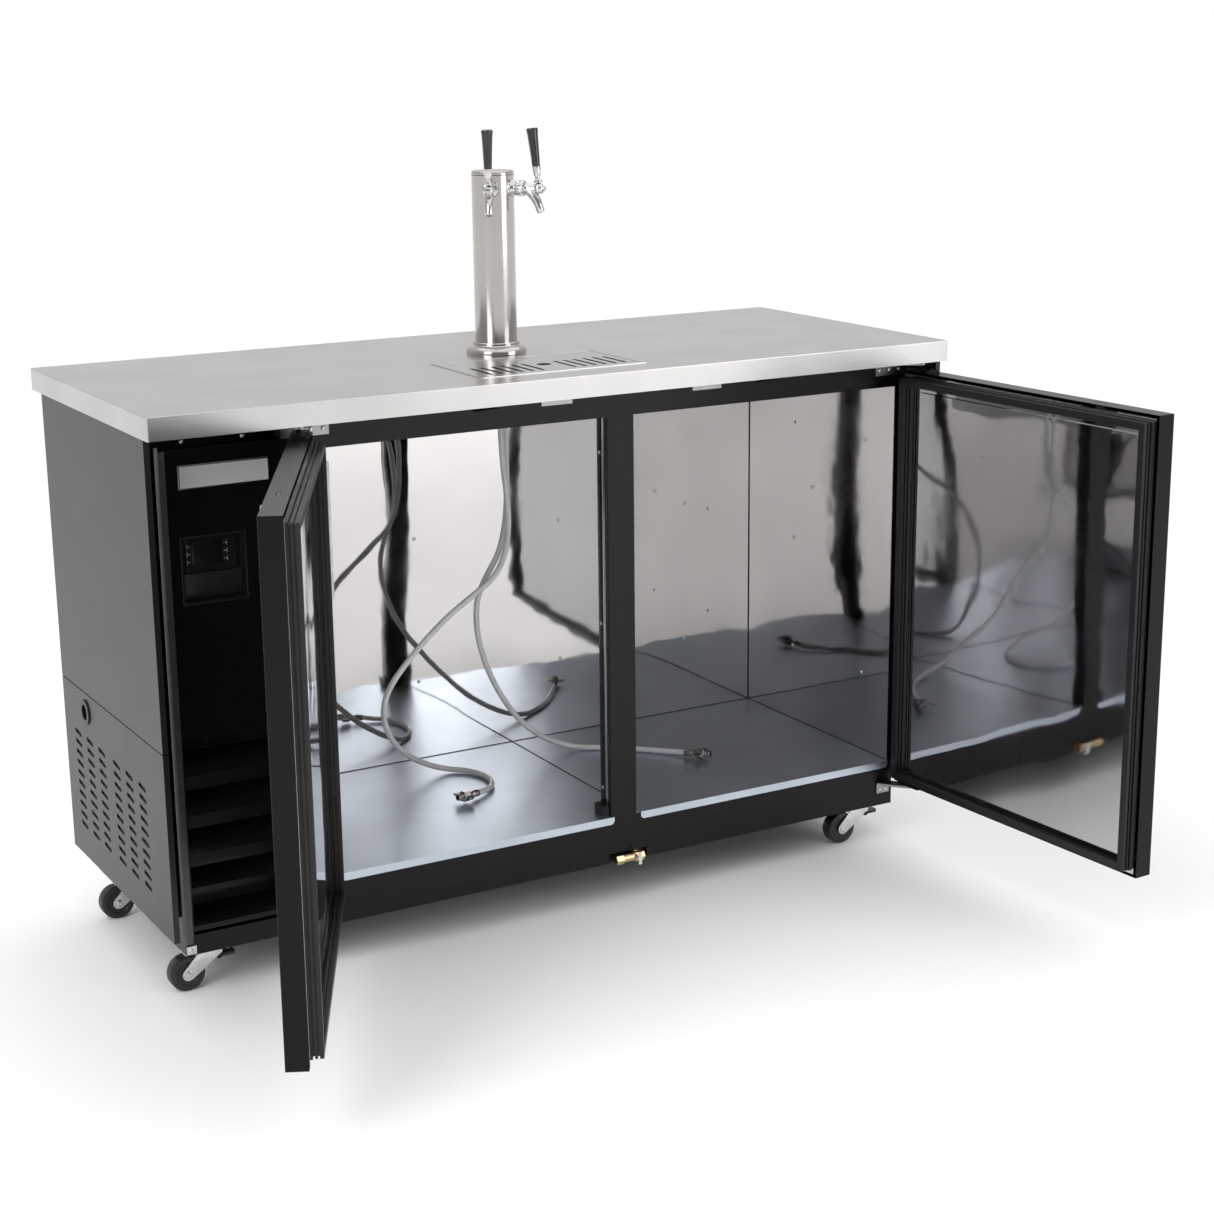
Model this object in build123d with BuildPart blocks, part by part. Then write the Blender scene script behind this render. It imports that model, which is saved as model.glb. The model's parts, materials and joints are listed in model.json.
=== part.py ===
from build123d import *
import os
from math import cos, radians, sin, tan

os.makedirs("parts", exist_ok=True)

# A two-tap kegerator: a low refrigerated keg cabinet on casters, with a beer tower on its worktop.
# The cabinet's frame: x from its centre line, y back from the worktop's front edge, z up from the floor.

# Cabinet
width, depth, height = 1550.0, 627.0, 1010.0
worktop_drop, worktop_sheet = 38.0, 1.5
panel = 1.2
back_sheet = 0.8
panel_front, panel_bottom, panel_seam = 22.0, 135.5, 460.0
compartment_back = 568.0  # back of the compressor compartment, short of the insulated box's back
partition_x = -521.0  # between the compressor compartment and the insulated box
base_half, base_bottom = 733.0, 78.0
frame_front, frame_depth = 88.5, 2.5
under_top = height - worktop_drop

# Keg space inside the insulated box
left_wall, right_wall, back_wall = -448.0, 722.0, 588.0
floor_top, ceiling = 170.0, 917.0
liner = 0.8
mullion_x, mullion_width, mullion_depth = 117.5, 55.0, 36.0
lip_drop, floor_seam = 14.0, 145.0

# Doors, equal and hung on opposite sides
door_width, door_bottom, door_top = 645.0, 137.0, 952.0
door_front, door_pan, door_gap = 30.0, 35.0, 4.0
door_total = 56.0
pivot_inset, pivot_setback = 21.0, 14.0
open_angle = {"left": 116.2, "right": 93.3}
lock_u, lock_z = 495.0, 924.0
mirror_u, mirror_z, mirror_rise = (54.0, 609.0), (166.0, 915.0), 5.0

# Tower, taps and drip tray
tower_y, tower_radius, tower_top = 333.0, 38.1, 1330.0
tap_z, tap_angle, tap_reach = 1306.0, 36.5, 88.0
tower_turn = 4.5
lever_lean = {"left": 3.0, "right": -6.0}
tray_w, tray_y, tray_rim = 330.0, (70.0, 270.0), 12.0
tray_depth, tray_sheet, grate_thickness = 24.0, 1.2, 3.0

# Casters
caster_x, caster_front_y, caster_back_y, caster_trail = 681.0, 137.0, 513.0, 40.0
wheel_radius, wheel_width, axle_radius, kingpin_radius = 31.5, 26.0, 4.0, 5.0
running = 0.05

# Beer lines: each route starts in the ceiling under the tower and ends in a coupler on the floor
line_diameter, coupler_height = 11.0, 11.5
line_routes = {
    "left": [
        (0, 325, 917), (0, 325, 828), (15, 328, 722), (14, 332, 648), (-8, 338, 590),
        (-63, 345, 553), (-112, 352, 518), (-173, 366, 456), (-218, 382, 393), (-225, 398, 341),
        (-199, 428, 280), (-149, 462, 227), (-102, 482, 196), (-58, 484, 177), (-23, 458, 176),
        (-6, 412, 176), (-13, 364, 176), (-42, 327, 177), (-84, 311, 181.5),
    ],
    "right": [
        (19, 343, 917), (19, 343, 822), (22, 347, 716), (8, 351, 635), (-20, 356, 590),
        (-38, 362, 549), (-39, 368, 506), (-30, 378, 458), (-3, 396, 392), (42, 420, 318),
        (99, 448, 251), (166, 470, 201), (230, 468, 176), (283, 435, 176), (330, 395, 176),
        (368, 350, 177), (400, 303, 181.5),
    ],
}

# Moving the model to the row's frame: its origin is under the middle of the open cabinet's footprint
door_reach = (door_width - pivot_inset) * sin(radians(open_angle["right"]))
origin_y = (depth + door_front + pivot_setback - door_reach) / 2
to_row = Location((0, -origin_y, 0))


def save(name, shape, place=Location()):
    """Write one node, moved from the cabinet's frame to the row's."""
    node = shape.moved(to_row * place)
    node.label = name
    export_step(node, f"parts/{name}.step")


def slab(x, y, z, mode=Mode.ADD):
    """A box between two x, two y and two z values."""
    with Locations(tuple((a + b) / 2 for a, b in (x, y, z))):
        Box(*(abs(b - a) for a, b in (x, y, z)), mode=mode)


def cylinder_on(axis, centre, radius, length, mode=Mode.ADD):
    """A cylinder centred on a point, along X, Y or Z."""
    turn = {"x": (0, 90, 0), "y": (90, 0, 0), "z": (0, 0, 0)}[axis]
    with Locations(Location(centre, turn)):
        Cylinder(radius, length, mode=mode)


def slabs(*limits):
    """Separate boxes that may touch, each from its x, y and z limits."""
    solids = []
    for x, y, z in limits:
        with BuildPart() as one:
            slab(x, y, z)
        solids += one.part.solids()
    return solids


def cut_up(shape, *limits):
    """A folded sheet taken apart at its bends, as solids that touch face to face."""
    solids = []
    for x, y, z in limits:
        with BuildPart() as one:
            add(shape)
            slab(x, y, z, Mode.INTERSECT)
        solids += one.part.solids()
    return solids


# ---------------------------------------------------------------- worktop, drip tray and grate
tray_x = tray_w / 2
well = (tray_x - tray_rim, (tray_y[0] + tray_rim, tray_y[1] - tray_rim))
ledge = height + tray_sheet - 0.4 - grate_thickness
tray_bottom = height - tray_depth
drain_hole_y = 151.0

with BuildPart() as worktop:
    slab((-width / 2, width / 2), (0, depth), (under_top, height))
    fillet(worktop.edges().filter_by(Axis.Z), 3)
    fillet(worktop.faces().sort_by(Axis.Z)[-1].edges(), 1.2)
    inner_half = width / 2 - worktop_sheet
    slab((-inner_half, inner_half), (worktop_sheet, depth - worktop_sheet),
         (under_top, height - worktop_sheet), Mode.SUBTRACT)
    slab((-well[0] - 1, well[0] + 1), (well[1][0] - 1, well[1][1] + 1), (under_top, height), Mode.SUBTRACT)
    with Locations((0, tower_y, height)):
        Hole(30)
save("worktop", worktop.part)

with BuildPart() as drip_tray:
    slab((-tray_x, tray_x), tray_y, (height, height + tray_sheet))
    fillet(drip_tray.edges().filter_by(Axis.Z), 4)
    slab((-well[0], well[0]), well[1], (ledge - tray_sheet, height))
    low_half, low_y = well[0] - 8, (well[1][0] + 8, well[1][1] - 8)
    slab((-low_half, low_half), low_y, (tray_bottom, height))
    slab((-well[0] + tray_sheet, well[0] - tray_sheet),
         (well[1][0] + tray_sheet, well[1][1] - tray_sheet), (ledge, height + 5), Mode.SUBTRACT)
    slab((-low_half + tray_sheet, low_half - tray_sheet),
         (low_y[0] + tray_sheet, low_y[1] - tray_sheet), (tray_bottom + tray_sheet, height + 5), Mode.SUBTRACT)
    cylinder_on("z", (0, drain_hole_y, tray_bottom - 5), 10, 12)
    cylinder_on("z", (0, drain_hole_y, tray_bottom - 5), 8.5, 20, Mode.SUBTRACT)
save("drip_tray", drip_tray.part)

slot_offsets = [32 + 20 * i for i in range(6)]
with BuildPart() as drip_grate:
    play = tray_sheet + 0.5
    slab((-well[0] + play, well[0] - play), (well[1][0] + play, well[1][1] - play),
         (ledge + 0.1, ledge + 0.1 + grate_thickness))
    with BuildSketch(Plane.XY.offset(ledge)):
        with Locations(*[(side * x, 134) for side in (-1, 1) for x in slot_offsets]):
            SlotOverall(84, 7, rotation=90)
        with Locations((0, drain_hole_y)):
            Circle(13)
    extrude(amount=10, mode=Mode.SUBTRACT)
save("drip_grate", drip_grate.part)

# ---------------------------------------------------------------- tower
with BuildPart() as tower_flange:
    with BuildSketch(Plane.XY.offset(height)) as _:
        with Locations((0, tower_y)):
            Circle(55)
    extrude(amount=17)
    fillet(tower_flange.faces().sort_by(Axis.Z)[-1].edges(), 8)
    cylinder_on("z", (0, tower_y, height + 11), 42.5, 22)
    cylinder_on("z", (0, tower_y, height + 11), tower_radius, 30, Mode.SUBTRACT)
save("tower_flange", tower_flange.part)

tap_heading = {"left": 270 + tower_turn - tap_angle, "right": 270 + tower_turn + tap_angle}
tap_place = {side: Location((0, tower_y, tap_z), (0, 0, a)) for side, a in tap_heading.items()}

with BuildPart() as tower_column:
    cylinder_on("z", (0, tower_y, (height + tower_top) / 2), tower_radius, tower_top - height)
    cylinder_on("z", (0, tower_y, (height + tower_top) / 2), tower_radius - 1.5, tower_top - height,
                Mode.SUBTRACT)
    for place in tap_place.values():
        with Locations(place * Location((tower_radius, 0, 0), (0, 90, 0))):
            Cylinder(11.1, 16, mode=Mode.SUBTRACT)
with BuildPart() as tower_cap:
    cylinder_on("z", (0, tower_y, tower_top + 3.5), tower_radius, 7)
    fillet(tower_cap.faces().sort_by(Axis.Z)[-1].edges(), 4)
    cylinder_on("z", (0, tower_y, tower_top - 4), tower_radius - 1.5, 8)
save("tower_column", Compound(tower_column.part.solids() + tower_cap.part.solids()))

# ---------------------------------------------------------------- faucets, levers and handles
# Local frame of a tap: x out from the tower's axis, z up from the faucet's axis.
saddle_radius = 10.0
spout_place = Location((84, 0, -23.5), (0, -22.4, 0))

with BuildPart() as faucet_body:
    cylinder_on("x", (39.5, 0, 0), 15.5, 11)
    cylinder_on("z", (0, 0, 0), tower_radius, 60, Mode.SUBTRACT)
    cylinder_on("x", (36, 0, 0), 11, 28)
    with Locations(Location((25.5, 0, 0), (0, 90, 0))):
        with BuildSketch(Plane.YZ.offset(22)):
            RegularPolygon(15, 6)
        extrude(amount=7)
    cylinder_on("x", (54, 0, 0), 13.5, 18)
    cylinder_on("x", (76, 0, 0), 8, 32)
    cylinder_on("x", (97, 0, -1), 6, 8)
    cylinder_on("y", (tap_reach, 0, 0), saddle_radius, 22)
    with Locations(spout_place):
        Cone(bottom_radius=6.8, top_radius=8.4, height=40)
        with Locations((0, 0, -11)):
            Cylinder(3.5, 18, mode=Mode.SUBTRACT)

with BuildPart() as tap_lever:
    cylinder_on("z", (0, 0, saddle_radius + 2.4), 8, 4)
    cylinder_on("z", (0, 0, 19), 4.5, 12)
    with Locations((0, 0, 30.5)):
        Cone(bottom_radius=6, top_radius=7.5, height=17)

with BuildPart() as tap_handle:
    with Locations((0, 0, 72.5)):
        Cone(bottom_radius=7.5, top_radius=10.5, height=67)
    fillet(tap_handle.faces().sort_by(Axis.Z)[-1].edges(), 3)

for side, place in tap_place.items():
    lean = place * Location((tap_reach, 0, 0), (0, lever_lean[side], 0))
    save(f"faucet_body_{side}", faucet_body.part, place)
    save(f"tap_lever_{side}", tap_lever.part, lean)
    save(f"tap_handle_{side}", tap_handle.part, lean)

# ---------------------------------------------------------------- outer panels
outer, inner = width / 2, width / 2 - panel
hem = 10.0


def side_panel(side, back, z):
    """A side sheet and the narrow hem along its front edge."""
    return slabs(
        ((side * inner, side * outer), (panel_front, back), z),
        ((side * (outer - hem), side * inner), (panel_front, panel_front + panel), z),
    )


save("left_side_panel", Compound(side_panel(-1, compartment_back, (panel_seam + 1, under_top))))

vent_columns = [140 + 67.5 * i for i in range(3)] + [357 + 67 * i for i in range(3)]
vent_rows = [197 + 19.45 * i for i in range(10)]
port_y, port_z, port_radius = 436.0, 424.0, 14.0
vent_sheet, vent_hem = side_panel(-1, compartment_back, (panel_bottom, panel_seam - 1))
with BuildPart() as left_vent_panel:
    add(vent_sheet)
    with BuildSketch(Plane.YZ.offset(-outer)):
        with Locations(*[(y, z) for y in vent_columns for z in vent_rows]):
            SlotOverall(37, 8, rotation=6)
        with Locations((port_y, port_z)):
            Circle(port_radius + 6)
    extrude(amount=5, both=True, mode=Mode.SUBTRACT)
save("left_vent_panel", Compound(left_vent_panel.part.solids() + [vent_hem]))

save("right_side_panel", Compound(side_panel(1, depth - back_sheet, (panel_bottom, under_top))))

save("back_panel", Compound(slabs(
    ((partition_x, outer), (depth - back_sheet, depth), (panel_bottom, under_top)),
    ((-inner, partition_x), (compartment_back - back_sheet, compartment_back), (panel_bottom, under_top)),
    ((partition_x, partition_x + panel), (compartment_back - back_sheet, depth - back_sheet), (panel_bottom, under_top)),
)))

# ---------------------------------------------------------------- insulated box and its liners
box_left, box_right = partition_x + panel, inner
foam_front = frame_front + frame_depth
foam = [
    ((box_left, box_right), (foam_front, depth - back_sheet), (panel_bottom, floor_top - liner)),
    ((left_wall - liner, right_wall + liner), (back_wall + liner, depth - back_sheet), (floor_top - liner, ceiling + liner)),
    ((box_left, left_wall - liner), (foam_front, depth - back_sheet), (floor_top - liner, ceiling + liner)),
    ((right_wall + liner, box_right), (foam_front, depth - back_sheet), (floor_top - liner, ceiling + liner)),
]
bush_radius = 32.0
with BuildPart() as ceiling_foam:
    slab((box_left, box_right), (foam_front, depth - back_sheet), (ceiling + liner, under_top))
    with Locations((0, tower_y, under_top)):
        Hole(bush_radius)
core_z = (under_top, height - worktop_sheet)
core_gap, core_y = well[0] + 6, (well[1][0] - 6, well[1][1] + 6)
foam += [
    ((-inner_half, -core_gap), (worktop_sheet, depth - worktop_sheet), core_z),
    ((core_gap, inner_half), (worktop_sheet, depth - worktop_sheet), core_z),
    ((-core_gap, core_gap), (worktop_sheet, core_y[0]), core_z),
]
with BuildPart() as worktop_core:
    slab((-core_gap, core_gap), (core_y[1], depth - worktop_sheet), core_z)
    with Locations((0, tower_y, height)):
        Hole(30)
with BuildPart() as line_bush:
    slab_height = under_top - ceiling
    cylinder_on("z", (0, tower_y, ceiling + slab_height / 2), bush_radius, slab_height)
    for x, y, z in (line_routes["left"][0], line_routes["right"][0]):
        cylinder_on("z", (x, y, ceiling + slab_height / 2), line_diameter / 2, slab_height + 2, Mode.SUBTRACT)
save("insulation", Compound(
    slabs(*foam) + ceiling_foam.part.solids() + worktop_core.part.solids() + line_bush.part.solids()
))

with BuildPart() as ceiling_liner:
    slab((left_wall, right_wall), (foam_front, back_wall), (ceiling, ceiling + liner))
    with Locations((0, tower_y, ceiling)):
        Hole(bush_radius)
wall_height = (floor_top - liner, ceiling + liner)
walls = slabs(
    ((left_wall - liner, right_wall + liner), (back_wall, back_wall + liner), wall_height),
    ((left_wall - liner, left_wall), (foam_front, back_wall), wall_height),
    ((right_wall, right_wall + liner), (foam_front, back_wall), wall_height),
)
save("wall_liners", Compound(ceiling_liner.part.solids() + walls))


def floor_sheet(x, lip_x):
    """One half of the keg floor, turned down over the sill in a lip with rounded lower corners."""
    with BuildPart() as half:
        slab(x, (foam_front, back_wall), (floor_top - liner, floor_top))
        slab(lip_x, (frame_front - liner, foam_front), (floor_top - liner, floor_top))
        slab(lip_x, (frame_front - liner, frame_front), (floor_top - lip_drop, floor_top))
        lip_ends = half.edges().filter_by(Axis.Y).group_by(Axis.Z)[0]
        fillet(lip_ends, 8)
    everywhere = (-outer, outer), (0, depth)
    return cut_up(half.part, (*everywhere, (floor_top - liner, floor_top)),
                  (*everywhere, (floor_top - lip_drop, floor_top - liner)))


save("floor_liner", Compound(
    floor_sheet((left_wall, floor_seam - 0.5), (left_wall, 97))
    + floor_sheet((floor_seam + 0.5, right_wall), (154, right_wall))
))

# ---------------------------------------------------------------- front frame, mullion and base
face = (frame_front, foam_front)
sill_top = floor_top - liner
notch_x, notch_top = (85.0, 166.0), 99.0
apron_bottom = base_bottom + 2
save("front_frame", Compound(slabs(
    ((partition_x, inner), face, (ceiling, under_top)),
    ((partition_x, left_wall), face, (sill_top, ceiling)),
    ((right_wall, inner), face, (sill_top, ceiling)),
    ((base_half, inner), face, (panel_bottom, sill_top)),
    ((partition_x, base_half), face, (notch_top, sill_top)),
    ((partition_x, notch_x[0]), face, (apron_bottom, notch_top)),
    ((notch_x[1], base_half), face, (apron_bottom, notch_top)),
    ((-inner, partition_x), (120, 122), (940, under_top)),
    ((-inner, -base_half), (127, 129), (panel_bottom, 940)),
)))

with BuildPart() as mullion:
    half = mullion_width / 2
    slab((mullion_x - half, mullion_x + half), (frame_front, frame_front + mullion_depth), (floor_top, ceiling))
    fillet(mullion.edges().filter_by(Axis.Z), 1.5)
    slab((mullion_x - half + 1.5, mullion_x + half - 1.5), (frame_front + 1.5, frame_front + mullion_depth - 1.5),
         (floor_top, ceiling), Mode.SUBTRACT)
mullion_foot = slabs(((mullion_x - half - 14, mullion_x - half), (foam_front + 2, frame_front + mullion_depth),
                      (floor_top, floor_top + 22)))
save("mullion", Compound(mullion.part.solids() + mullion_foot))

beam, beam_top = 3.0, panel_bottom - 1.5
beam_y, cover_back = 97.0, 127.0
deck = (beam_top, panel_bottom)
valve_y, valve_z, valve_x, outlet_x, pipe_radius = 82.5, 87.0, (95.0, 154.0), 146.0, 6.0
ring_y = (beam_y + beam, compartment_back - beam)
with BuildPart() as front_beam:
    slab((partition_x, base_half), (beam_y, beam_y + beam), (base_bottom, beam_top))
    cylinder_on("y", (outlet_x, beam_y, valve_z), pipe_radius + 0.2, 20, Mode.SUBTRACT)
corner_x = (base_half - 102, base_half - beam)
gussets = [
    (tuple(side * x for x in corner_x), y, (base_bottom, base_bottom + beam))
    for side in (-1, 1) for y in ((cover_back + beam, 177), (477, ring_y[1]))
]
save("base_frame", Compound(front_beam.part.solids() + slabs(
    ((-base_half, partition_x), (cover_back, cover_back + beam), (base_bottom, beam_top)),
    ((-base_half, base_half), (ring_y[1], compartment_back), (base_bottom, beam_top)),
    ((-base_half, beam - base_half), (cover_back + beam, ring_y[1]), (base_bottom, beam_top)),
    ((base_half - beam, base_half), ring_y, (base_bottom, beam_top)),
    ((partition_x, partition_x + beam), ring_y, (base_bottom, beam_top)),
    ((-base_half, partition_x), (cover_back + 2, compartment_back - back_sheet), deck),
    ((partition_x, inner), (foam_front, depth - back_sheet), deck),
    *gussets,
)))

# ---------------------------------------------------------------- compressor compartment's front
cover_x, cover_z, cover_depth = (-base_half, partition_x), (base_bottom + 1, 940.0), 38.0
window_x, window_z = (-718.0, -536.0), (115.0, 455.0)
recess_x, recess_z = (-701.0, -592.0), (684.0, 794.0)
louvre_pitch, louvre_depth = 68.0, 34.0
with BuildPart() as front_cover:
    slab(cover_x, (frame_front, frame_front + cover_depth), cover_z)
    fillet(front_cover.faces().sort_by(Axis.Y)[0].edges(), 2)
    slab((cover_x[0] + panel, cover_x[1] - panel), (frame_front + panel, frame_front + cover_depth),
         (cover_z[0] + panel, cover_z[1] - panel), Mode.SUBTRACT)
    slab(window_x, (frame_front, frame_front + panel), window_z, Mode.SUBTRACT)
    slab(recess_x, (frame_front, frame_front + panel), recess_z, Mode.SUBTRACT)
    for i in range(5):
        blade_z = window_z[0] + 10 + louvre_pitch * i
        slab((window_x[0], window_x[1]), (frame_front, frame_front + panel), (blade_z - 4, blade_z + 5))
        with BuildSketch(Plane.YZ.offset(window_x[0])):
            with BuildLine():
                Polyline((frame_front, blade_z + 3.6), (frame_front + louvre_depth, blade_z + 28),
                         (frame_front + louvre_depth, blade_z + 29.4), (frame_front, blade_z + 5), close=True)
            make_face()
        extrude(amount=window_x[1] - window_x[0])
face_y, fold_y = (frame_front, frame_front + panel), (frame_front + panel, frame_front + cover_depth)
fold_z = (cover_z[0] + panel, cover_z[1] - panel)
both_y = (frame_front, frame_front + cover_depth)
save("front_cover", Compound(cut_up(
    front_cover.part,
    (cover_x, face_y, (recess_z[1], cover_z[1])),
    ((cover_x[0], recess_x[0]), face_y, recess_z),
    ((recess_x[1], cover_x[1]), face_y, recess_z),
    (cover_x, face_y, (window_z[1], recess_z[0])),
    ((cover_x[0], window_x[0]), face_y, window_z),
    ((window_x[1], cover_x[1]), face_y, window_z),
    (cover_x, face_y, (cover_z[0], window_z[0])),
    ((cover_x[0], cover_x[0] + panel), fold_y, fold_z),
    ((cover_x[1] - panel, cover_x[1]), fold_y, fold_z),
    (cover_x, fold_y, (cover_z[0], fold_z[0])),
    (cover_x, fold_y, (fold_z[1], cover_z[1])),
    *[(window_x, both_y, (window_z[0] + 6 + louvre_pitch * i, window_z[0] + 40 + louvre_pitch * i)) for i in range(5)],
)))

with BuildPart() as badge_plate:
    slab((-700, -546), (frame_front - 2, frame_front), (874, 913))
    fillet(badge_plate.faces().sort_by(Axis.Y)[0].edges(), 0.6)
save("badge_plate", badge_plate.part)

with BuildPart() as controller:
    slab(recess_x, (frame_front + 0.4, frame_front + 16), recess_z)
    fillet(controller.edges().filter_by(Axis.Y), 7)
    slab((recess_x[0] + 3, recess_x[1] - 3), (frame_front, frame_front + 13), (recess_z[0] + 3, recess_z[1] - 3),
         Mode.SUBTRACT)
    slab((-692, -604), (frame_front + 7, frame_front + 13), (734, 790))
    fillet(controller.faces().filter_by(Axis.Y).sort_by(Axis.Y)[1].outer_wire().edges(), 1.5)
save("controller", controller.part)

# ---------------------------------------------------------------- cooling unit and evaporator
unit_x = (cover_x[0] + cover_x[1]) / 2
fan_z, fan_y = 275.0, 225.0
with BuildPart() as condenser:
    slab((unit_x - 88, unit_x + 88), (150, 196), (140, 400))
    with Locations((unit_x, 173, 141)):
        with GridLocations(44, 1, 5, 1):
            Box(3, 60, 2)
with BuildPart() as fan_shroud:
    slab((unit_x - 88, unit_x + 88), (200, 203), (panel_bottom, 400))
    cylinder_on("y", (unit_x, 201.5, fan_z), 84, 10, Mode.SUBTRACT)
with BuildPart() as fan_motor:
    cylinder_on("y", (unit_x, 262, fan_z), 32, 40)
    slab((unit_x - 12, unit_x + 12), (246, 278), (panel_bottom, fan_z - 25))
with BuildPart() as compressor:
    cylinder_on("z", (unit_x, 420, 228), 78, 165)
    fillet(compressor.edges().filter_by(GeomType.CIRCLE), 30)
    with Locations((unit_x, 420, (panel_bottom + 150) / 2)):
        Box(170, 120, 150 - panel_bottom)
save("condensing_unit", Compound(
    condenser.part.solids() + fan_shroud.part.solids() + fan_motor.part.solids() + compressor.part.solids()
))

evaporator_depth = 34.0
evaporator_fan_at = (left_wall + evaporator_depth - 16, 480.0, 760.0)
with BuildPart() as evaporator_cover:
    slab((left_wall, left_wall + evaporator_depth), (150, 560), (640, 880))
    slab((left_wall, left_wall + evaporator_depth - back_sheet), (152, 558), (642, 878), Mode.SUBTRACT)
    cylinder_on("x", (left_wall + evaporator_depth, evaporator_fan_at[1], evaporator_fan_at[2]), 60, 10, Mode.SUBTRACT)
    with BuildSketch(Plane.YZ.offset(left_wall + evaporator_depth)):
        with Locations((280, 800)):
            with GridLocations(48, 26, 4, 4):
                SlotOverall(36, 9)
    extrude(amount=5, both=True, mode=Mode.SUBTRACT)
shell_x = (left_wall, left_wall + evaporator_depth - back_sheet)
save("evaporator_cover", Compound(cut_up(
    evaporator_cover.part,
    ((shell_x[1], shell_x[1] + back_sheet), (150, 560), (640, 880)),
    (shell_x, (150, 152), (640, 880)),
    (shell_x, (558, 560), (640, 880)),
    (shell_x, (152, 558), (640, 642)),
    (shell_x, (152, 558), (878, 880)),
)))


def fan(radius, hub_radius, blades, thickness):
    """An axial fan about its local z axis."""
    with BuildPart() as wheel:
        Cylinder(hub_radius, thickness)
        with PolarLocations(0, blades):
            with Locations(Location(((radius + hub_radius - 2) / 2, 0, 0), (32, 0, 0))):
                Box(radius - hub_radius + 2, radius * 0.5, 2)
    return wheel.part


save("condenser_fan", fan(76, 24, 5, 12), Location((unit_x, fan_y, fan_z), (90, 0, 0)))
save("evaporator_fan", fan(54, 18, 5, 8), Location(evaporator_fan_at, (0, 90, 0)))

# ---------------------------------------------------------------- doors
# Each door is built closed and then swung open about its pivots. u runs from its hinge edge along its width.
door_y = (door_front, door_front + door_pan)
hinge_edge = {
    "left": mullion_x - door_gap / 2 - door_width,
    "right": mullion_x + door_gap / 2 + door_width,
}
inward = {"left": 1, "right": -1}
pivot_y = door_front + pivot_setback
pivot_x = {side: hinge_edge[side] + inward[side] * pivot_inset for side in hinge_edge}
pin_radius = 4.0
skin_sheet = 1.2
flange = 0.8
gasket_inset, gasket_width = 12.0, 15.0


def along(side, u0, u1):
    """The x values at two distances from a door's hinge edge."""
    return hinge_edge[side] + inward[side] * u0, hinge_edge[side] + inward[side] * u1


def mitred_bar(side, horizontal, low, layers):
    """One of a gasket's four bars, from (extra inset, start y, end y) layers, with mitred ends."""
    x0, x1 = sorted(along(side, 0, door_width))
    with BuildPart() as bar:
        for inset, y0, y1 in layers:
            a, b = gasket_inset + inset, gasket_inset + gasket_width - inset
            if horizontal:
                z_out, z_in = (door_bottom + a, door_bottom + b) if low else (door_top - a, door_top - b)
                corners = [(x0 + a, z_out), (x1 - a, z_out), (x1 - b, z_in), (x0 + b, z_in)]
            else:
                x_out, x_in = (x0 + a, x0 + b) if low else (x1 - a, x1 - b)
                corners = [(x_out, door_bottom + a), (x_out, door_top - a), (x_in, door_top - b), (x_in, door_bottom + b)]
            with BuildSketch(Plane.XZ.offset(-y0)):
                with BuildLine():
                    Polyline(*corners, close=True)
                make_face()
            extrude(amount=y0 - y1)
    return bar.part.solids()


gasket_y = door_front + door_pan + flange
gasket_layers = [
    (0, gasket_y, gasket_y + 4), (4, gasket_y + 4, gasket_y + 7), (1, gasket_y + 7, gasket_y + 11),
    (4, gasket_y + 11, gasket_y + 14), (1, gasket_y + 14, door_front + door_total),
]

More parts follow.
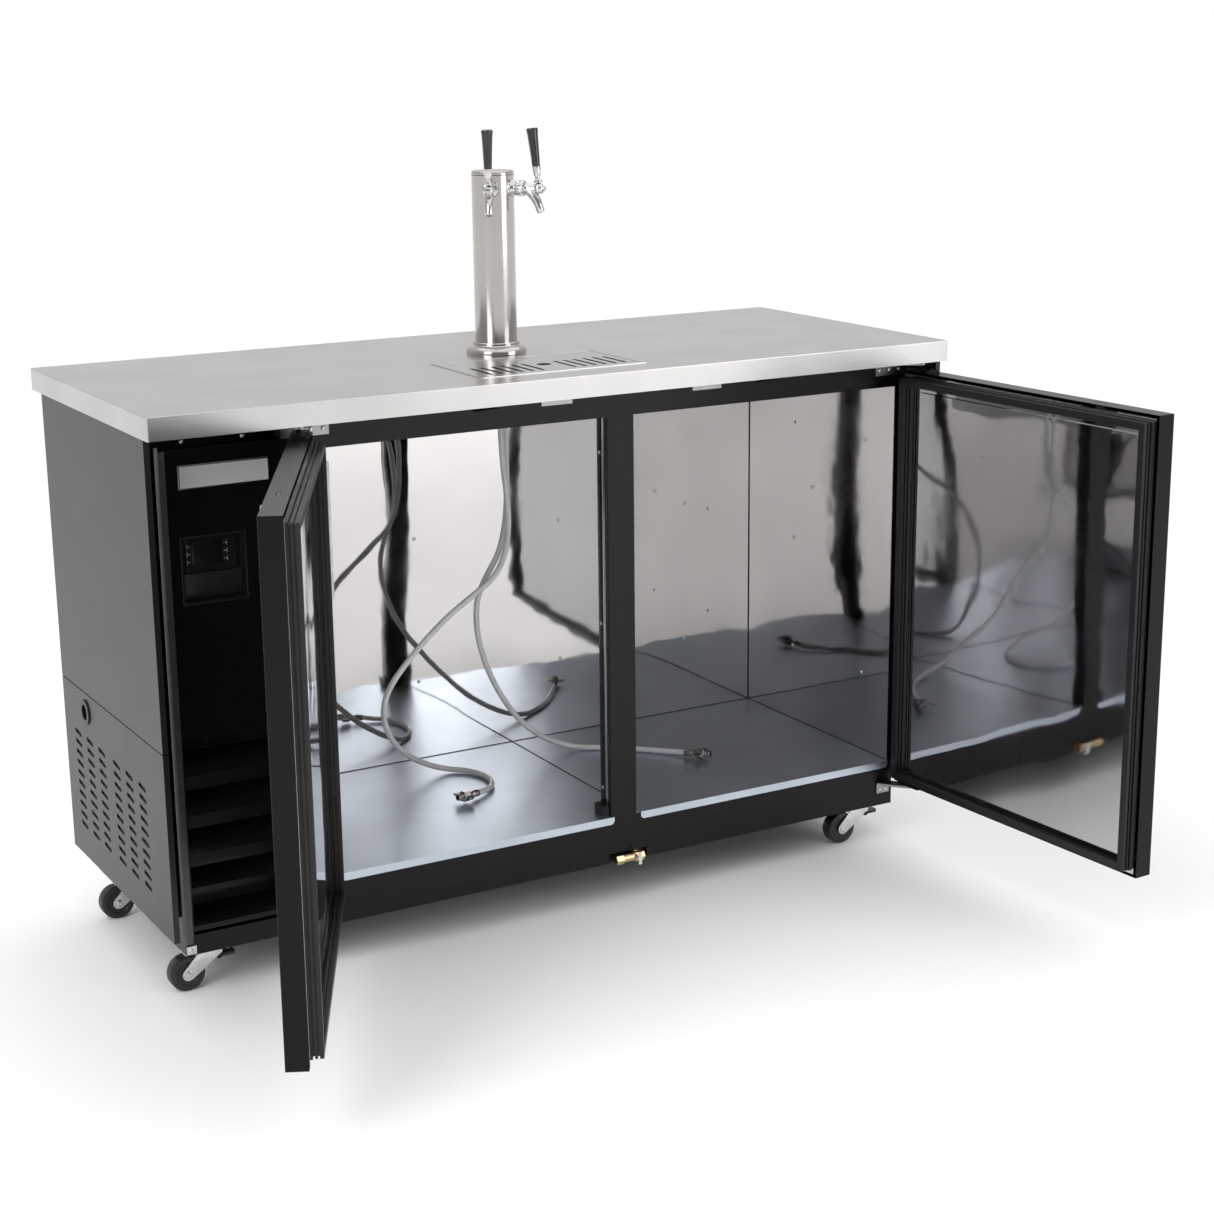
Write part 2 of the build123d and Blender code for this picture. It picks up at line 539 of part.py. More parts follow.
for side in ("left", "right"):
    sign = inward[side]
    turn = -sign * open_angle[side]
    swing = Location((pivot_x[side], pivot_y, 0)) * Location((0, 0, 0), (0, 0, turn))
    swing = swing * Location((-pivot_x[side], -pivot_y, 0))
    lock_x = hinge_edge[side] + sign * lock_u

    with BuildPart() as door_skin:
        slab(along(side, 0, door_width), door_y, (door_bottom, door_top))
        fillet(door_skin.faces().sort_by(Axis.Y)[0].edges(), 1.5)
        slab(along(side, skin_sheet, door_width - skin_sheet), (door_front + skin_sheet, door_y[1]),
             (door_bottom + skin_sheet, door_top - skin_sheet), Mode.SUBTRACT)
        slab((lock_x - 12.5, lock_x + 12.5), (door_front + 15, door_front + 21), (door_top - 5, door_top + 5),
             Mode.SUBTRACT)
        cylinder_on("y", (lock_x, door_front, lock_z), 9.5 + running, 10, Mode.SUBTRACT)
    save(f"door_skin_{side}", door_skin.part, swing)

    with BuildPart() as door_liner:
        slab(along(side, 6, door_width - 6), (door_y[1], door_y[1] + flange), (door_bottom + 6, door_top - 6))
        slab(along(side, *mirror_u), (door_y[1], door_y[1] + mirror_rise), mirror_z)
        slab(along(side, mirror_u[0] + flange, mirror_u[1] - flange), (door_y[1], door_y[1] + mirror_rise - flange),
             (mirror_z[0] + flange, mirror_z[1] - flange), Mode.SUBTRACT)
    save(f"door_liner_{side}", door_liner.part, swing)

    bars = [mitred_bar(side, h, low, gasket_layers) for h in (True, False) for low in (True, False)]
    save(f"door_gasket_{side}", Compound([solid for bar in bars for solid in bar]), swing)

    arms = []
    for base_z, up in ((door_top, 1), (door_bottom, -1)):
        with BuildPart() as arm:
            slab(along(side, 5, 66), (door_front + 3, door_y[1] - 3), (base_z, base_z + up * 5))
            fillet(arm.edges().filter_by(Axis.Z), 3)
            cylinder_on("z", (pivot_x[side], pivot_y, base_z + up * 8), pin_radius, 14)
            for u in (38, 56):
                cylinder_on("z", (hinge_edge[side] + sign * u, pivot_y + 2, base_z + up * 5.5), 4, 2.5)
        arms += arm.part.solids()
    save(f"door_hinge_arms_{side}", Compound(arms), swing)

    with BuildPart() as lock_cylinder:
        cylinder_on("y", (lock_x, door_front - 4.6, lock_z), 12, 9)
        fillet(lock_cylinder.faces().sort_by(Axis.Y)[0].edges(), 2)
        cylinder_on("y", (lock_x, door_front + 6, lock_z), 9.5, 14)
        slab((lock_x - 1, lock_x + 1), (door_front - 10, door_front - 5), (lock_z - 5, lock_z + 5), Mode.SUBTRACT)
    save(f"lock_cylinder_{side}", lock_cylinder.part, swing)

    with BuildPart() as lock_bolt:
        slab((lock_x - 11, lock_x + 11), (door_front + 16, door_front + 20), (door_top - 44, door_top - 0.5))
    save(f"lock_bolt_{side}", lock_bolt.part, swing)

# ---------------------------------------------------------------- hinge brackets and lock strikes
hardware = []
for side in ("left", "right"):
    sign = inward[side]
    x = pivot_x[side]
    for plate_z, flange_z, flange_u in (
        ((962, 966), (940, 966), (-14, 70)),
        ((124, 128), (106, 128), (18, 48)),
    ):
        flange_x = (x + sign * flange_u[0], x + sign * flange_u[1])
        with BuildPart() as bracket:
            with BuildSketch(Plane.XY.offset(plate_z[0])):
                with Locations((x, pivot_y)):
                    Circle(12)
                with Locations((sum(flange_x) / 2, frame_front - 2)):
                    Rectangle(abs(flange_x[1] - flange_x[0]), 4)
                make_hull()
            extrude(amount=plate_z[1] - plate_z[0])
            slab(flange_x, (frame_front - 3, frame_front), flange_z)
            cylinder_on("z", (x, pivot_y, plate_z[0]), pin_radius + running, 20, Mode.SUBTRACT)
        hardware += bracket.part.solids()
    strike_x = hinge_edge[side] + sign * lock_u
    hardware += slabs(((strike_x - 30, strike_x + 30), (door_front + 12, door_front + 14), (957, under_top)))
save("hinge_brackets", Compound(hardware))

# ---------------------------------------------------------------- drain valve under the sill
stem_x = 140.0
with BuildPart() as drain_valve:
    for start, end, across in ((valve_x[0], 110, 9.5), (110, 134, 7.5), (134, valve_x[1], 9.5)):
        with BuildSketch(Plane.YZ.offset(start)):
            with Locations((valve_y, valve_z)):
                if across > 8:
                    RegularPolygon(across, 6)
                else:
                    Circle(across)
        extrude(amount=end - start)
    cylinder_on("y", (stem_x, valve_y - 10, valve_z), 3, 8)
    cylinder_on("y", (outlet_x, beam_y - 1.5, valve_z), 8.5, 3)
    cylinder_on("y", (outlet_x, valve_y + 25, valve_z), pipe_radius, 42)
    cylinder_on("x", (valve_x[0] + 12, valve_y, valve_z), 5, 24, Mode.SUBTRACT)
save("drain_valve", drain_valve.part)

with BuildPart() as drain_handle:
    cylinder_on("y", (stem_x, valve_y - 13, valve_z), 5, 5)
    slab((stem_x - 3, stem_x + 3), (valve_y - 15.5, valve_y - 13), (valve_z - 12, valve_z + 12))
    cylinder_on("y", (stem_x, valve_y - 12, valve_z), 3 + running, 4.2, Mode.SUBTRACT)
save("drain_handle", drain_handle.part)

# ---------------------------------------------------------------- casters
# Local frame of a caster: its swivel axis is z and its wheel trails towards -x.
plate_bottom = base_bottom - 6.5
fork_top = plate_bottom - 0.3
axle_z = wheel_radius
leg_y = wheel_width / 2 + 2.2
pedal_x, pedal_z, pedal_pin = 16.0, 53.0, 2.5
caster_spots = {
    "front_left": (-caster_x, caster_front_y), "front_right": (caster_x, caster_front_y),
    "back_left": (-caster_x, caster_back_y), "back_right": (caster_x, caster_back_y),
}

with BuildPart() as caster_plate:
    slab((-50, 50), (-36, 40), (base_bottom - 3.5, base_bottom))
    slab((-36, 36), (-30, 30), (plate_bottom, base_bottom - 3.5))
    with Locations((0, 0, base_bottom - 5)):
        with GridLocations(56, 44, 2, 2):
            Cylinder(4.5, 7)
    cylinder_on("z", (0, 0, plate_bottom - 4), kingpin_radius, 8)

with BuildPart() as fork:
    cylinder_on("z", (0, 0, fork_top - 2.5), 23, 5)
    slab((-23, 20), (-leg_y - 3, leg_y + 3), (fork_top - 5, fork_top - 2))
    for side in (-1, 1):
        start = leg_y if side > 0 else -leg_y - 3
        with BuildSketch(Plane.XZ.offset(-start)):
            with Locations((-caster_trail, axle_z)):
                Circle(11)
            with Locations((0, fork_top - 6)):
                Rectangle(44, 8)
            with Locations((pedal_x, pedal_z)):
                Circle(7)
            make_hull()
        extrude(amount=-3)
    cylinder_on("z", (0, 0, fork_top), kingpin_radius + running, 20, Mode.SUBTRACT)
    cylinder_on("y", (pedal_x, 0, pedal_z), pedal_pin + running, 60, Mode.SUBTRACT)
    cylinder_on("y", (-caster_trail, 0, axle_z), axle_radius, 2 * leg_y + 10)
    for side in (-1, 1):
        cylinder_on("y", (-caster_trail, side * (leg_y + 5), axle_z), 6.5, 4)

with BuildPart() as wheel:
    cylinder_on("y", (-caster_trail, 0, axle_z), wheel_radius, wheel_width)
    fillet(wheel.edges().filter_by(GeomType.CIRCLE), 4)
    cylinder_on("y", (-caster_trail, 0, axle_z), axle_radius + running, 40, Mode.SUBTRACT)

with BuildPart() as pedal:
    slab((pedal_x - 5, pedal_x + 30), (-13, 13), (pedal_z - 2, pedal_z + 3))
    fillet(pedal.edges().filter_by(Axis.Z).group_by(Axis.X)[-1], 6)
    cylinder_on("y", (pedal_x, 0, pedal_z), pedal_pin, 2 * leg_y + 6)
    cylinder_on("y", (pedal_x, 0, pedal_z), 5, 26)

plates = []
for name, (x, y) in caster_spots.items():
    place = Location((x, y, 0))
    plates += caster_plate.part.moved(place).solids()
    save(f"caster_fork_{name}", fork.part, place)
    save(f"caster_wheel_{name}", wheel.part, place)
    if name.startswith("front"):
        save(f"brake_pedal_{name}", pedal.part, place)
save("caster_plates", Compound(plates))

# ---------------------------------------------------------------- grommets
with BuildPart() as port_grommet:
    cylinder_on("x", (-outer - 1.5, port_y, port_z), port_radius + 9, 3)
    fillet(port_grommet.faces().sort_by(Axis.X)[0].edges(), 1.2)
    cylinder_on("x", (-outer + 3, port_y, port_z), port_radius + 6, 6)
    cylinder_on("x", (-outer, port_y, port_z), port_radius, 20, Mode.SUBTRACT)
save("grommets", port_grommet.part)

# ---------------------------------------------------------------- fasteners
screw_spots = [("y", (x, frame_front - 1, 952)) for x in (-691, -588)]
screw_spots += [("x", (mullion_x - mullion_width / 2 - 1, 116, z)) for z in (850, 535, 222)]
screw_spots += [("x", (right_wall - 1, y, z)) for y in (180, 420) for z in (330, 560, 800)]
screw_spots += [("y", (x, back_wall - 1, z)) for x in (-330, -60, 260, 560) for z in (330, 620, 850)]
screws = []
for axis, centre in screw_spots:
    with BuildPart() as screw:
        cylinder_on(axis, centre, 4, 2)
    screws += screw.part.solids()
save("fasteners", Compound(screws))

# ---------------------------------------------------------------- beer lines and their couplers
line_radius = line_diameter / 2
inside_tower_top = tap_z - 14


def corner_radii(points):
    """For each corner, 0.45 of its shorter run over the tangent of half its turn."""
    radii = []
    for a, b, c in zip(points, points[1:], points[2:]):
        runs = (b - a, c - b)
        half_turn = radians(runs[0].get_angle(runs[1])) / 2
        radii.append(0.45 * min(run.length for run in runs) / tan(half_turn))
    return radii


for side, route in line_routes.items():
    points = [Vector(*p) for p in route]
    radii = corner_radii(points)
    print(side, "line radii", [round(r) for r in radii])
    with BuildPart() as beer_line:
        with BuildLine() as path:
            FilletPolyline(*points, radius=radii)
        with BuildSketch(Plane(path.wire() @ 0, z_dir=path.wire() % 0)):
            Circle(line_radius)
        sweep(path=path.wire())
    length = path.wire().length
    swept = 3.14159265 * line_radius ** 2 * length
    print(side, "line length", round(length), "volume ratio", round(beer_line.part.volume / swept, 4))
    with BuildPart() as riser:
        x, y, z = route[0]
        cylinder_on("z", (x, y, (z + inside_tower_top) / 2), line_radius, inside_tower_top - z)
    save(f"beer_line_{side}", Compound(beer_line.part.solids() + riser.part.solids()))

    # Coupler, along x from the line's end: barbed tail, washer and a nut with two wings.
    end = points[-1]
    heading = end - points[-2]
    with BuildPart() as coupler:
        cylinder_on("x", (7, 0, 0), 7, 14)
        cylinder_on("x", (16, 0, 0), 9.5, 6)
        cylinder_on("x", (26, 0, 0), 11, 14)
        slab((22, 30), (-23, 23), (-3, 3))
        cylinder_on("x", (37, 0, 0), 6, 8)
        cylinder_on("x", (36, 0, 0), 3.5, 40, Mode.SUBTRACT)
    frame = Plane(origin=end, x_dir=heading, z_dir=Vector(0, 0, 1).cross(heading).cross(heading) * -1)
    save(f"line_coupler_{side}", coupler.part, frame.location)
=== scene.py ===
"""The looks of a two-tap kegerator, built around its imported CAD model."""

import json
from math import cos, pi, radians, sin

import bmesh
import bpy
from mathutils import Matrix, Vector


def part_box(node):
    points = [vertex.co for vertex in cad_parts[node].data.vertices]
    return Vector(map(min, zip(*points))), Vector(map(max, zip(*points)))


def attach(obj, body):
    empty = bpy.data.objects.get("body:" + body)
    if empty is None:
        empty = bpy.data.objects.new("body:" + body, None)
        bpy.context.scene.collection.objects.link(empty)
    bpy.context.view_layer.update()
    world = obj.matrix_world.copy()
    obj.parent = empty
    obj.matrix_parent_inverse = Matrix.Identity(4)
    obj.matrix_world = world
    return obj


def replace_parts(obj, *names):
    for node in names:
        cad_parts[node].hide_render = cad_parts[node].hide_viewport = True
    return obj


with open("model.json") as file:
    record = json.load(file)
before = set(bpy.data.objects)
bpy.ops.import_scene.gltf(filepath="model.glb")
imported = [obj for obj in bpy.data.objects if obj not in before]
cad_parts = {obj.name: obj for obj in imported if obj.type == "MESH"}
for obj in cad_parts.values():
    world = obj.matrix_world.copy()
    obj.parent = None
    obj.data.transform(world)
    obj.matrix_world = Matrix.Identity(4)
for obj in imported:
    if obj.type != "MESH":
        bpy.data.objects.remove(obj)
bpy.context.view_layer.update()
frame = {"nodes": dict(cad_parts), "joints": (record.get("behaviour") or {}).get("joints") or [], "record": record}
nodes = frame["nodes"]
joints = {j["name"]: j for j in frame["joints"]}

MM = 0.001
WORKTOP_LOW, WORKTOP_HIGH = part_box("worktop")
FRONT = WORKTOP_LOW.y  # the worktop's front edge, where the cabinet's y starts
CABINET = "cabinet"
SIDES = ("left", "right")
INWARD = {"left": 1, "right": -1}


def at(x, y, z):
    """A point in the cabinet's own millimetres, as the row frame has it."""
    return Vector((x * MM, FRONT + y * MM, z * MM))


# ------------------------------------------------------------------ camera
def make_camera():
    """The photograph's viewpoint: ahead of the left end, looking slightly down."""
    yaw, pitch, roll = 0.52011, 0.25416, -0.010889
    data = bpy.data.cameras.new("camera")
    data.lens, data.sensor_width = 66.136, 36.0
    data.clip_end = 200  # metres, past the far edge of the floor
    camera = bpy.data.objects.new("camera", data)
    turn = Matrix.Rotation(-yaw, 4, "Z") @ Matrix.Rotation(pi / 2 - pitch, 4, "X")
    camera.matrix_world = Matrix.Translation(at(-1844.4, -3282.4, 1581.4)) @ turn @ Matrix.Rotation(roll, 4, "Z")
    bpy.context.scene.collection.objects.link(camera)
    bpy.context.scene.camera = camera


make_camera()


# ------------------------------------------------------------------ materials
class Shader:
    """A small procedural material: one Principled shader and the textures that vary it."""

    def __init__(self, name, colour, rough, metallic=0.0, **sockets):
        self.material = bpy.data.materials.new(name)
        self.material.use_nodes = True
        tree = self.material.node_tree
        self.nodes, self.links = tree.nodes, tree.links
        self.principled = self.nodes["Principled BSDF"]
        self.set("Base Color", (*colour, 1))
        self.set("Roughness", rough)
        self.set("Metallic", metallic)
        for socket, value in sockets.items():
            self.set(socket.replace("_", " "), value)
        self.colour, self.rough = colour, rough
        self.coords = self.nodes.new("ShaderNodeTexCoord").outputs["Object"]
        self.height = None

    def set(self, socket, value):
        self.principled.inputs[socket].default_value = value

    def noise(self, scale, stretch=(1, 1, 1), detail=3.0):
        """Noise in the row frame, scale in features per metre."""
        mapping = self.nodes.new("ShaderNodeMapping")
        mapping.inputs["Scale"].default_value = stretch
        texture = self.nodes.new("ShaderNodeTexNoise")
        texture.inputs["Scale"].default_value = scale
        texture.inputs["Detail"].default_value = detail
        self.links.new(self.coords, mapping.inputs["Vector"])
        self.links.new(mapping.outputs["Vector"], texture.inputs["Vector"])
        return texture.outputs["Fac"]

    def spread(self, value, low, high, soft=(0.3, 0.7)):
        """The value, taken from its middle range to low..high."""
        node = self.nodes.new("ShaderNodeMapRange")
        node.inputs["From Min"].default_value, node.inputs["From Max"].default_value = soft
        node.inputs["To Min"].default_value, node.inputs["To Max"].default_value = low, high
        self.links.new(value, node.inputs["Value"])
        return node.outputs["Result"]

    def vary_rough(self, value, amount):
        rough = self.spread(value, self.rough - amount, self.rough + amount)
        self.links.new(rough, self.principled.inputs["Roughness"])
        return self

    def vary_colour(self, value, dark, light):
        """Mixes between two tones of the colour, or two colours."""
        mix = self.nodes.new("ShaderNodeMix")
        mix.data_type = "RGBA"
        tones = [c if isinstance(c, tuple) else tuple(v * c for v in self.colour) for c in (dark, light)]
        mix.inputs["A"].default_value, mix.inputs["B"].default_value = (*tones[0], 1), (*tones[1], 1)
        self.links.new(self.spread(value, 0, 1), mix.inputs["Factor"])
        self.links.new(mix.outputs["Result"], self.principled.inputs["Base Color"])
        return self

    def bump(self, value, strength, distance):
        """Adds relief, distance in metres, on top of any the material has."""
        node = self.nodes.new("ShaderNodeBump")
        node.inputs["Strength"].default_value = strength
        node.inputs["Distance"].default_value = distance
        self.links.new(value, node.inputs["Height"])
        if self.height:
            self.links.new(self.height, node.inputs["Normal"])
        self.height = node.outputs["Normal"]
        self.links.new(self.height, self.principled.inputs["Normal"])
        return self


def brushed(name, colour, rough, stretch, metallic=1.0, streak=0.06, grain=0.08, **sockets):
    """Satin metal with fine brush lines; stretch is small along the lines."""
    s = Shader(name, colour, rough, metallic, **sockets)
    lines = s.noise(900, stretch, 2)
    s.vary_rough(lines, streak)
    s.vary_colour(s.noise(6, (1, 1, 1), 2), 0.93, 1.05)
    return s.bump(lines, grain, 0.0002).material


def painted(name, colour, rough, peel=0.25, metallic=0.0, tone=0.15, marks=0.06, **sockets):
    """Sprayed paint with a fine orange-peel surface and faint handling marks."""
    s = Shader(name, colour, rough, metallic, **sockets)
    s.vary_rough(s.noise(9, (1, 1, 1), 4), marks)
    s.vary_colour(s.noise(25, (1, 1, 1), 3), 1 - tone, 1 + tone)
    return s.bump(s.noise(700, (1, 1, 1), 2), peel, 0.00025).material


def mirror(name, colour, rough, wave):
    """Polished sheet that is never quite flat, so that its reflections run in waves."""
    s = Shader(name, colour, rough, 1.0)
    s.vary_rough(s.noise(5, (1, 1, 1), 3), rough * 0.6)
    s.vary_colour(s.noise(3, (1, 1, 1), 2), 0.94, 1.04)
    s.bump(s.noise(3.2, (1, 1, 0.7), 1), wave, 0.02)
    return s.bump(s.noise(16, (1, 1, 1), 1), wave * 0.5, 0.0015).material


def moulded(name, colour, rough, grain=0.3, scale=1500, **sockets):
    """Moulded plastic or rubber with a fine grain."""
    s = Shader(name, colour, rough, 0.0, **sockets)
    s.vary_rough(s.noise(40, (1, 1, 1), 3), 0.05)
    s.vary_colour(s.noise(60, (1, 1, 1), 2), 0.85, 1.15)
    return s.bump(s.noise(scale, (1, 1, 1), 2), grain, 0.00015).material


def plated(name, colour, rough):
    """Bright zinc with a faint spangle."""
    s = Shader(name, colour, rough, 1.0)
    s.vary_colour(s.noise(90, (1, 1, 1), 2), (0.60, 0.61, 0.60), (0.70, 0.72, 0.74))
    s.vary_rough(s.noise(60, (1, 1, 1), 3), 0.08)
    return s.bump(s.noise(500, (1, 1, 1), 2), 0.12, 0.0002).material


def foam(name):
    s = Shader(name, (0.09, 0.08, 0.06), 0.9)
    s.vary_colour(s.noise(60, (1, 1, 1), 3), 0.8, 1.1)
    return s.bump(s.noise(400, (1, 1, 1), 3), 0.6, 0.001).material


LOOK = {
    "worktop": brushed("worktop_steel", (0.56, 0.552, 0.548), 0.26, (0.015, 1, 1), streak=0.012, grain=0.01),
    "tray": brushed("tray_steel", (0.52, 0.52, 0.515), 0.24, (0.02, 1, 1), streak=0.02, grain=0.015),
    "tower": brushed("tower_steel", (0.50, 0.485, 0.465), 0.15, (1, 1, 0.012), streak=0.04),
    "chrome": Shader("chrome", (0.58, 0.575, 0.57), 0.09, 1.0),
    "black": painted("black_paint", (0.0042, 0.0041, 0.0047), 0.27, tone=0.05, marks=0.02, Specular_IOR_Level=0.24),
    "door": painted("door_paint", (0.0036, 0.0035, 0.004), 0.24, tone=0.05, marks=0.02, Specular_IOR_Level=0.15),
    "side": painted(
        "side_paint", (0.010, 0.010, 0.0098), 0.34, 0.12, tone=0.04, marks=0.012, Specular_IOR_Level=0.38
    ),
    "liner": mirror("mirror_liner", (0.56, 0.548, 0.545), 0.045, 0.30),
    "door_liner": mirror("door_mirror", (0.59, 0.585, 0.60), 0.04, 0.20),
    "floor": brushed("floor_steel", (0.61, 0.675, 0.755), 0.38, (0.02, 1, 1), streak=0.03, grain=0.03),
    "zinc": plated("zinc_plate", (0.66, 0.66, 0.64), 0.28),
    "brass": brushed("brass", (0.68, 0.50, 0.30), 0.28, (0.1, 1, 1)),
    "foam": foam("foam"),
    "seal": moulded("seal_rubber", (0.009, 0.009, 0.010), 0.42, 0.35, 900, Specular_IOR_Level=0.35),
    "plastic": moulded("black_plastic", (0.006, 0.006, 0.006), 0.38, Specular_IOR_Level=0.4),
    "handle": moulded("handle_gloss", (0.008, 0.008, 0.008), 0.16, 0.04, Coat_Weight=0.35, Coat_Roughness=0.05),
    "wheel": moulded("wheel_plastic", (0.014, 0.014, 0.015), 0.35, 0.3),
    "silver": brushed("silver_plastic", (0.70, 0.70, 0.71), 0.38, (0.02, 1, 1), metallic=0.1, grain=0.02),
    "cover": moulded("evaporator_plastic", (0.62, 0.63, 0.64), 0.35),
    "unit": painted("unit_paint", (0.02, 0.02, 0.022), 0.4),
    "screen": moulded("screen", (0.004, 0.005, 0.005), 0.10, 0.02, Coat_Weight=0.6),
    "mark": moulded("mark", (0.32, 0.32, 0.32), 0.4, 0.1),
    "bezel": moulded("bezel_plastic", (0.016, 0.0155, 0.015), 0.33, 0.2),
    # the lock bolts' zinc darkened to a dull grey: painted shade standing in for the dark slot they sit in
    "bolt": brushed("bolt_darkened_slot_shade", (0.20, 0.20, 0.20), 0.4, (1, 1, 0.05)),
    # a lighter grey copy of the black paint for rolled edges: painted highlight where the edges catch light
    "edge": painted("edge_painted_highlight", (0.075, 0.074, 0.073), 0.30, 0.1, tone=0.04, marks=0.02),
    "bracket": brushed("bracket_steel", (0.34, 0.34, 0.33), 0.36, (1, 1, 0.05)),
    "nickel": brushed("nickel_plate", (0.30, 0.295, 0.285), 0.20, (1, 1, 0.3), streak=0.03),
    # dark sealant for the seams; the same dark is also painted shade in the spouts' mouths
    "seam": moulded("sealant_and_mouth_shade", (0.02, 0.02, 0.022), 0.5, 0.3),
}


def finish_chrome():
    """Chrome with faint handling haze."""
    s = LOOK["chrome"]
    s.vary_rough(s.noise(70, (1, 1, 1), 3), 0.035)
    s.vary_colour(s.noise(30, (1, 1, 1), 2), 0.95, 1.04)
    LOOK["chrome"] = s.bump(s.noise(300, (1, 1, 1), 2), 0.05, 0.0001).material


def clear_plastic():
    """Clear hose wall, slightly milky."""
    s = Shader("clear_hose", (0.95, 0.955, 0.95), 0.10, 0.0, Transmission_Weight=0.35, IOR=1.36, Coat_Weight=0.3)
    s.vary_rough(s.noise(50, (1, 1, 1), 3), 0.05)
    s.vary_colour(s.noise(30, (1, 1, 1), 2), 0.9, 1.03)
    return s.bump(s.noise(260, (1, 1, 1), 2), 0.15, 0.0004).material


finish_chrome()
LOOK["hose"] = clear_plastic()
LOOK["braid"] = moulded("braid_thread", (0.82, 0.82, 0.81), 0.5, 0.4)

SLOT_LOOK = {
    "worktop_steel": "worktop", "tray_steel": "tray", "chrome": "chrome", "black_paint": "black",
    "grey_paint": "side", "mirror_liner": "liner", "floor_steel": "floor", "zinc_plate": "zinc", "brass": "brass", "foam": "foam",
    "seal": "seal", "black_plastic": "plastic", "clear_hose": "hose", "cooling_unit": "unit",
    "evaporator_cover": "cover", "handle_plastic": "handle", "wheel": "wheel", "silver_plastic": "silver",
}
NODE_LOOK = {
    "tower_column": "tower", "door_liner_left": "door_liner", "door_liner_right": "door_liner",
    "door_skin_left": "door", "door_skin_right": "door",
    # the lock bolts take the darkened bolt look, painted shade for their slots
    "lock_bolt_left": "bolt", "lock_bolt_right": "bolt", "hinge_brackets": "bracket",
}


def dress_nodes():
    """Gives every CAD node its finish, from its material slot or its own entry."""
    slots = {s["node"]: s["material_slot"] for s in frame["record"]["subparts"]}
    for name, node in nodes.items():
        node.data.materials.clear()
        node.data.materials.append(LOOK[NODE_LOOK.get(name) or SLOT_LOOK[slots[name]]])


dress_nodes()


# ------------------------------------------------------------------ mesh helpers
SHARP = radians(32)


def piece(name, bm, look, body=CABINET, place=Matrix.Identity(4)):
    """A finished mesh: placed, its edges sharp where they turn far, dressed and riding on a body."""
    bmesh.ops.remove_doubles(bm, verts=bm.verts, dist=1e-6)
    bm.transform(place)
    bmesh.ops.recalc_face_normals(bm, faces=bm.faces)
    for face in bm.faces:
        face.smooth = True
    for edge in bm.edges:
        edge.smooth = not (edge.is_manifold and edge.calc_face_angle(0) > SHARP)
    mesh = bpy.data.meshes.new(name)
    bm.to_mesh(mesh)
    bm.free()
    mesh.materials.append(LOOK[look])
    thing = bpy.data.objects.new(name, mesh)
    bpy.context.scene.collection.objects.link(thing)
    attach(thing, body)
    return thing


def add_lathe(bm, profile, place=Matrix.Identity(4), segments=40):
    """A closed turned shape about z from (radius, height) points in millimetres."""
    rings = []
    for radius, height in profile:
        if radius <= 0:
            rings.append([bm.verts.new(place @ Vector((0, 0, height * MM)))])
            continue
        turns = (2 * pi * i / segments for i in range(segments))
        rings.append([bm.verts.new(place @ (Vector((cos(t) * radius, sin(t) * radius, height)) * MM)) for t in turns])
    for low, high in zip(rings, rings[1:]):
        for i in range(segments):
            j = (i + 1) % segments
            corners = [low[i % len(low)], low[j % len(low)], high[j % len(high)], high[i % len(high)]]
            unique = list(dict.fromkeys(corners))
            if len(unique) > 2:
                bm.faces.new(unique)


def add_block(bm, low, high, round_by=0.8, place=Matrix.Identity(4), segments=2):
    """A box between two corners in row-frame metres, with rounded edges (round_by in millimetres)."""
    low, high = (Vector(map(f, low, high)) for f in (min, max))
    made = bmesh.ops.create_cube(bm, size=1)["verts"]
    size = high - low
    move = Matrix.Translation((low + high) / 2) @ Matrix.Diagonal((*size, 1))
    bmesh.ops.transform(bm, matrix=move, verts=made)
    edges = list({e for v in made for e in v.link_edges})
    width = min(round_by * MM, min(size) * 0.45)
    result = bmesh.ops.bevel(bm, geom=edges, offset=width, segments=segments, profile=0.5, affect="EDGES")
    bmesh.ops.transform(bm, matrix=place, verts=list({v for f in result["faces"] for v in f.verts} | set(
        v for v in made if v.is_valid)))


def add_plate(bm, outline, thick, place=Matrix.Identity(4), round_by=0.5):
    """A flat plate from its outline in x and z, in millimetres, with softened edges."""
    sheets = [[bm.verts.new(Vector((x, y, z)) * MM) for x, z in outline] for y in (-thick / 2, thick / 2)]
    faces = [bm.faces.new(sheets[0]), bm.faces.new(reversed(sheets[1]))]
    count = len(outline)
    for i in range(count):
        j = (i + 1) % count
        faces.append(bm.faces.new((sheets[0][j], sheets[0][i], sheets[1][i], sheets[1][j])))
    edges = list({e for f in faces[:2] for e in f.edges})
    result = bmesh.ops.bevel(bm, geom=edges, offset=round_by * MM, segments=2, profile=0.5, affect="EDGES")
    old = {v for sheet in sheets for v in sheet if v.is_valid} | {v for f in faces if f.is_valid for v in f.verts}
    bmesh.ops.transform(bm, matrix=place, verts=list(old | {v for f in result["faces"] for v in f.verts}))


def rounded_hull(points, circles, steps=28):
    """The convex outline round some points and circles, each (x, z, radius), all in millimetres."""
    cloud = list(points)
    for x, z, r in circles:
        cloud += [(x + r * cos(2 * pi * i / steps), z + r * sin(2 * pi * i / steps)) for i in range(steps)]
    cloud = sorted(set(cloud))

    def half(run):
        chain = []
        for p in run:
            while len(chain) > 1:
                (ax, az), (bx, bz) = chain[-2:]
                if (bx - ax) * (p[1] - az) - (bz - az) * (p[0] - ax) > 1e-9:
                    break
                chain.pop()
            chain.append(p)
        return chain[:-1]

    return half(cloud) + half(reversed(cloud))


